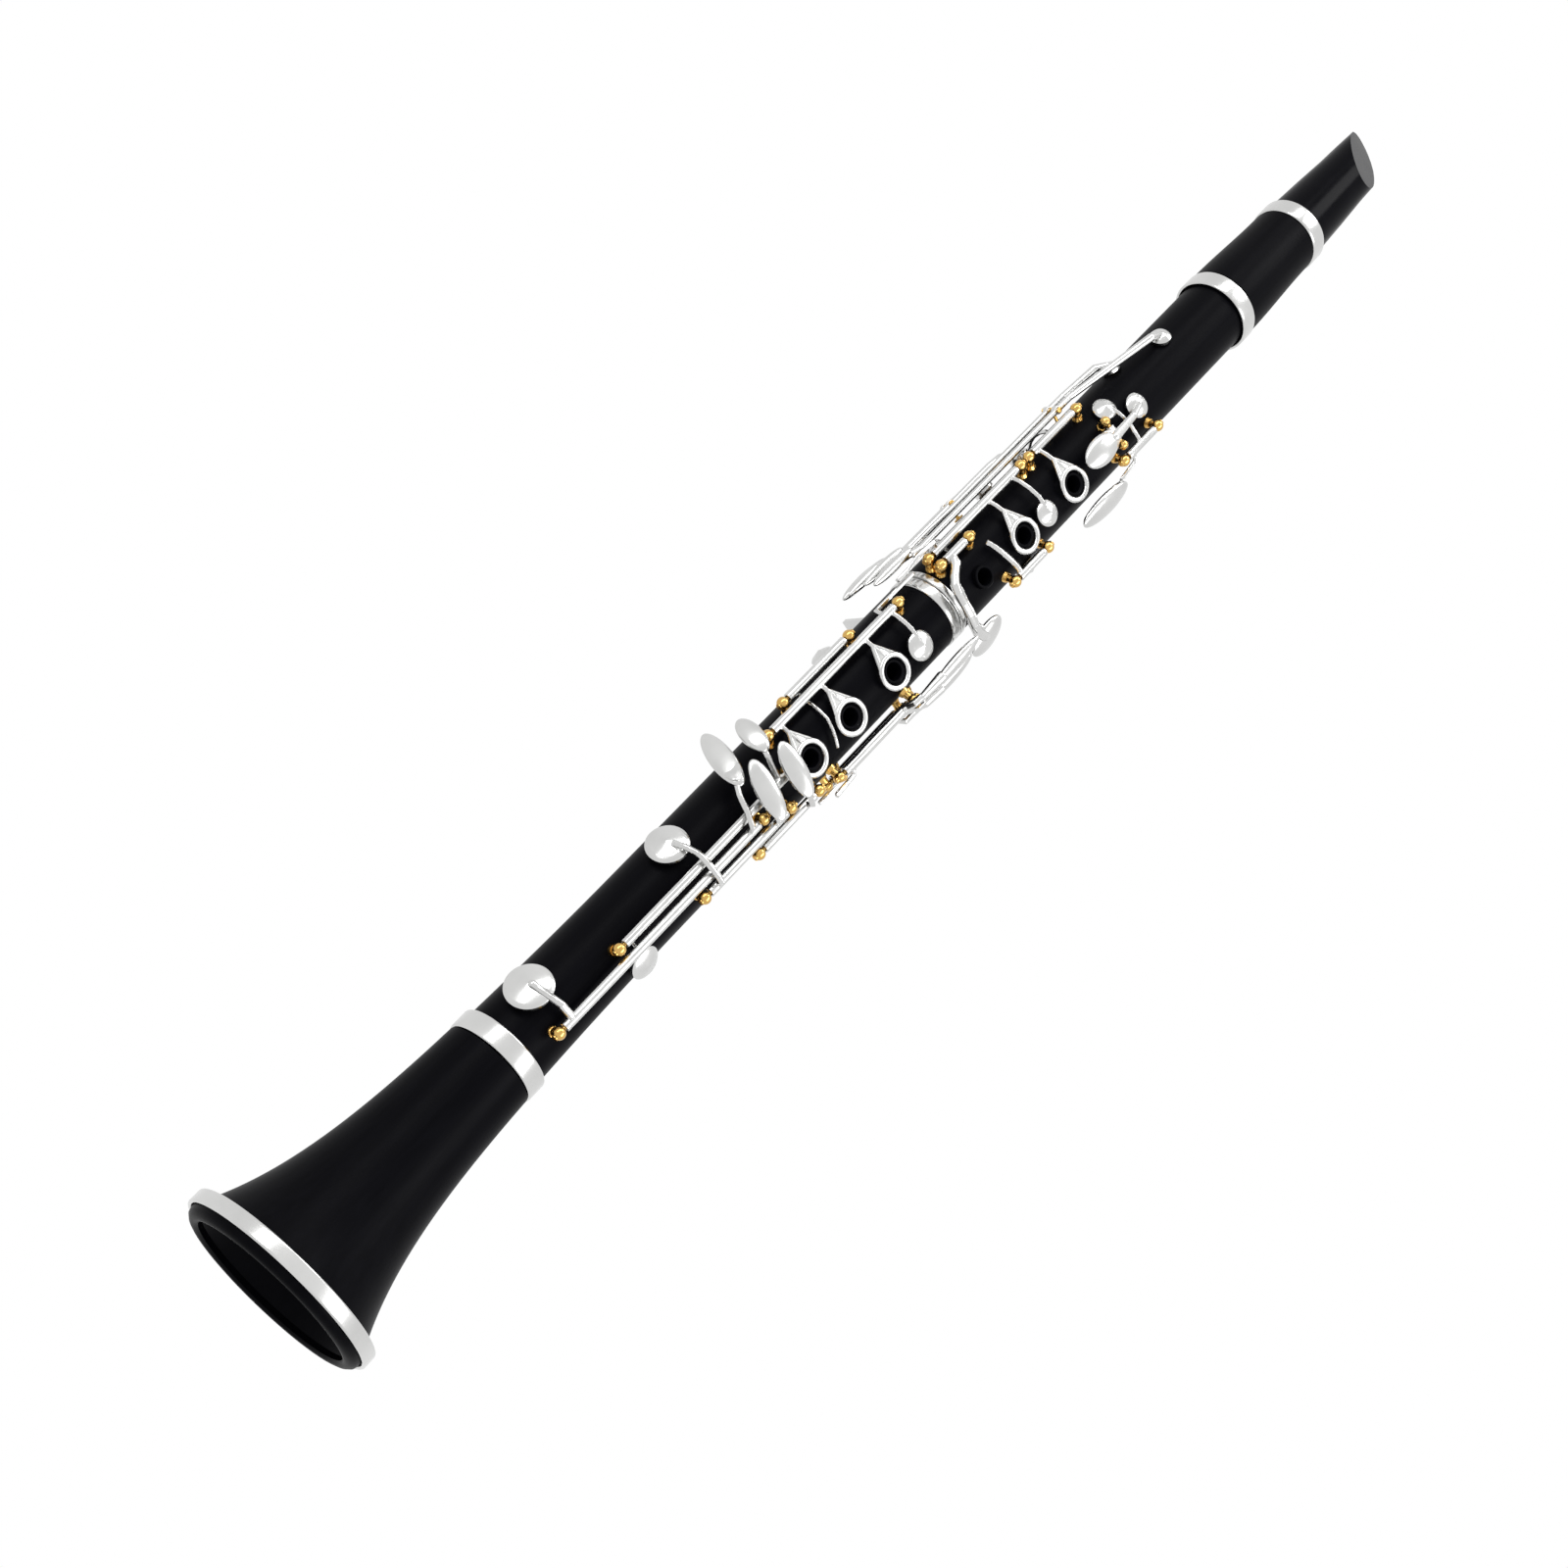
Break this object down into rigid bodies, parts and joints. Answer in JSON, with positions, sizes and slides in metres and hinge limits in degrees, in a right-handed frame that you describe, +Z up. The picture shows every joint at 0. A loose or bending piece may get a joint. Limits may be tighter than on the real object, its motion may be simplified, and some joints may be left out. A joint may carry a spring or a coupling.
{
  "type": "clarinet",
  "caption": "Straight black woodwind with a flared bell, tapered mouthpiece, metal rings and sprung metal keywork on gold posts; played by covering tone holes.",
  "frame": {"origin": "bottom centre of the bounding box, instrument lying on its back on the bell rim and the thumb rest", "axes": "+X from the bell towards the mouthpiece, +Y to the side of the side keys, +Z up on the tone-hole side"},
  "size_m": [0.6802, 0.0764, 0.0765],
  "materials": {
    "body_black": "satin black with fine grain",
    "mouthpiece_black": "polished black",
    "tenon_cork": "greased cork",
    "post_gold": "polished gold-coloured plate",
    "key_silver": "bright silver plate"
  },
  "bodies": {
    "body": {"a_flat_posts": "post_gold", "bell": "body_black", "bell_rim_ring": "key_silver", "bell_socket_ring": "key_silver", "bridge_ring_posts": "post_gold", "c_sharp_posts": "post_gold", "e_b_posts": "post_gold", "f_c_posts": "post_gold", "f_sharp_posts": "post_gold", "left_e_lever_posts": "post_gold", "left_f_lever_posts": "post_gold", "left_f_sharp_lever_posts": "post_gold", "lower_joint": "body_black", "lower_joint_cork": "tenon_cork", "lower_ring_posts": "post_gold", "lower_sliver_posts": "post_gold", "middle_ring": "key_silver", "register_posts": "post_gold", "side_key_saddle": "post_gold", "throat_a_posts": "post_gold", "throat_g_sharp_posts": "post_gold", "thumb_rest": "key_silver", "thumb_ring_posts": "post_gold", "trill_key_saddle": "post_gold", "upper_joint": "body_black", "upper_joint_foot_cork": "tenon_cork", "upper_joint_head_cork": "tenon_cork", "upper_joint_ring": "key_silver", "upper_sliver_posts": "post_gold"},
    "barrel_group": {"barrel": "body_black", "barrel_bottom_ring": "key_silver", "barrel_top_ring": "key_silver", "mouthpiece": "mouthpiece_black", "mouthpiece_cork": "tenon_cork"},
    "bridge_ring_key": {"bridge_ring_key": "key_silver"},
    "thumb_ring_key": {"thumb_ring_key": "key_silver"},
    "throat_a_key": {"throat_a_key": "key_silver"},
    "throat_g_sharp_key": {"throat_g_sharp_key": "key_silver"},
    "upper_sliver_key": {"upper_sliver_key": "key_silver"},
    "c_sharp_key": {"c_sharp_key": "key_silver"},
    "side_key_low": {"side_key_low": "key_silver"},
    "side_key_high": {"side_key_high": "key_silver"},
    "trill_key_low": {"trill_key_low": "key_silver"},
    "trill_key_high": {"trill_key_high": "key_silver"},
    "register_key": {"register_key": "key_silver"},
    "lower_ring_key": {"lower_ring_key": "key_silver"},
    "lower_sliver_key": {"lower_sliver_key": "key_silver"},
    "e_b_key": {"e_b_key": "key_silver"},
    "f_c_key": {"f_c_key": "key_silver"},
    "a_flat_key": {"a_flat_key": "key_silver"},
    "f_sharp_key": {"f_sharp_key": "key_silver"},
    "left_f_sharp_lever": {"left_f_sharp_lever": "key_silver"},
    "left_e_lever": {"left_e_lever": "key_silver"},
    "left_f_lever": {"left_f_lever": "key_silver"}
  },
  "joints": [
    {"name": "bridge_ring_key_hinge", "type": "hinge", "parent": "body", "child": "bridge_ring_key", "pos_m": [0.04319, 0.0178, 0.03833], "axis": [0.9997, 0, -0.0228], "range_deg": [0, 3], "stiffness_Nm_per_rad": 0.05},
    {"name": "thumb_ring_key_hinge", "type": "hinge", "parent": "body", "child": "thumb_ring_key", "pos_m": [0.09417, 0.0178, 0.03717], "axis": [0.9997, 0, -0.0228], "range_deg": [0, 2], "stiffness_Nm_per_rad": 0.05},
    {"name": "throat_a_key_hinge", "type": "hinge", "parent": "body", "child": "throat_a_key", "pos_m": [0.1124, 0.00329, 0.04672], "axis": [0.004, -0.9848, 0.1736], "range_deg": [0, 4], "stiffness_Nm_per_rad": 0.05},
    {"name": "throat_g_sharp_key_hinge", "type": "hinge", "parent": "body", "child": "throat_g_sharp_key", "pos_m": [0.12213, -0.00837, 0.0458], "axis": [0.9997, 0, -0.0228], "range_deg": [0, 4], "stiffness_Nm_per_rad": 0.05},
    {"name": "upper_sliver_key_hinge", "type": "hinge", "parent": "body", "child": "upper_sliver_key", "pos_m": [0.04712, -0.01078, 0.04617], "axis": [0.9997, 0, -0.0228], "range_deg": [-2, 0], "stiffness_Nm_per_rad": 0.05},
    {"name": "c_sharp_key_hinge", "type": "hinge", "parent": "body", "child": "c_sharp_key", "pos_m": [0.02255, 0.01448, 0.04363], "axis": [0.9997, 0, -0.0228], "range_deg": [0, 3], "stiffness_Nm_per_rad": 0.05},
    {"name": "side_key_low_hinge", "type": "hinge", "parent": "body", "child": "side_key_low", "pos_m": [0.04428, 0.02021, 0.02063], "axis": [0.0217, 0.309, 0.9508], "range_deg": [0, 3], "stiffness_Nm_per_rad": 0.05},
    {"name": "side_key_high_hinge", "type": "hinge", "parent": "body", "child": "side_key_high", "pos_m": [0.04438, 0.02164, 0.02501], "axis": [0.0217, 0.309, 0.9508], "range_deg": [0, 3], "stiffness_Nm_per_rad": 0.05},
    {"name": "trill_key_low_hinge", "type": "hinge", "parent": "body", "child": "trill_key_low", "pos_m": [0.10447, 0.02212, 0.02826], "axis": [0.0227, -0.1045, 0.9943], "range_deg": [0, 1], "stiffness_Nm_per_rad": 0.05},
    {"name": "trill_key_high_hinge", "type": "hinge", "parent": "body", "child": "trill_key_high", "pos_m": [0.10458, 0.02164, 0.03284], "axis": [0.0227, -0.1045, 0.9943], "range_deg": [0, 1], "stiffness_Nm_per_rad": 0.05},
    {"name": "register_key_hinge", "type": "hinge", "parent": "body", "child": "register_key", "pos_m": [0.12704, 0, 0.0088], "axis": [0, 1, 0], "range_deg": [0, 5], "stiffness_Nm_per_rad": 0.05},
    {"name": "lower_ring_key_hinge", "type": "hinge", "parent": "body", "child": "lower_ring_key", "pos_m": [-0.04847, 0.01581, 0.04366], "axis": [0.9997, 0, -0.0228], "range_deg": [0, 3], "stiffness_Nm_per_rad": 0.05},
    {"name": "lower_sliver_key_hinge", "type": "hinge", "parent": "body", "child": "lower_sliver_key", "pos_m": [-0.05256, 0.01873, 0.0394], "axis": [0.9997, 0, -0.0228], "range_deg": [0, 2], "stiffness_Nm_per_rad": 0.05},
    {"name": "e_b_key_hinge", "type": "hinge", "parent": "body", "child": "e_b_key", "pos_m": [-0.16476, -0.00173, 0.05412], "axis": [0.9997, 0, -0.0228], "range_deg": [-3.3, 0], "stiffness_Nm_per_rad": 0.05},
    {"name": "f_c_key_hinge", "type": "hinge", "parent": "body", "child": "f_c_key", "pos_m": [-0.12279, -0.00677, 0.05204], "axis": [0.9997, 0, -0.0228], "range_deg": [-3.3, 0], "stiffness_Nm_per_rad": 0.05},
    {"name": "a_flat_key_hinge", "type": "hinge", "parent": "body", "child": "a_flat_key", "pos_m": [-0.13702, 0.00344, 0.05326], "axis": [0.9997, 0, -0.0228], "range_deg": [-4, 0], "stiffness_Nm_per_rad": 0.05},
    {"name": "f_sharp_key_hinge", "type": "hinge", "parent": "body", "child": "f_sharp_key", "pos_m": [-0.1016, -0.01136, 0.04917], "axis": [0.9997, 0, -0.0228], "range_deg": [-3.3, 0], "stiffness_Nm_per_rad": 0.05},
    {"name": "left_f_sharp_lever_hinge", "type": "hinge", "parent": "body", "child": "left_f_sharp_lever", "pos_m": [-0.05021, -0.0156, 0.04397], "axis": [0.9997, 0, -0.0228], "range_deg": [-6.6, 0], "stiffness_Nm_per_rad": 0.05},
    {"name": "left_e_lever_hinge", "type": "hinge", "parent": "body", "child": "left_e_lever", "pos_m": [-0.04633, -0.01861, 0.03846], "axis": [0.9997, 0, -0.0228], "range_deg": [-6.6, 0], "stiffness_Nm_per_rad": 0.05},
    {"name": "left_f_lever_hinge", "type": "hinge", "parent": "body", "child": "left_f_lever", "pos_m": [-0.05047, -0.01979, 0.03247], "axis": [0.9997, 0, -0.0228], "range_deg": [-6.6, 0], "stiffness_Nm_per_rad": 0.05},
    {"name": "barrel_tuning_slide", "type": "slide", "parent": "body", "child": "barrel_group", "axis": [0.9997, 0, -0.0228], "range_m": [0, 0.003]}
  ],
  "couplings": [
    {"joint": "left_e_lever_hinge", "follows": "e_b_key_hinge", "ratio": 2},
    {"joint": "left_f_lever_hinge", "follows": "f_c_key_hinge", "ratio": 2},
    {"joint": "left_f_sharp_lever_hinge", "follows": "f_sharp_key_hinge", "ratio": 2}
  ]
}
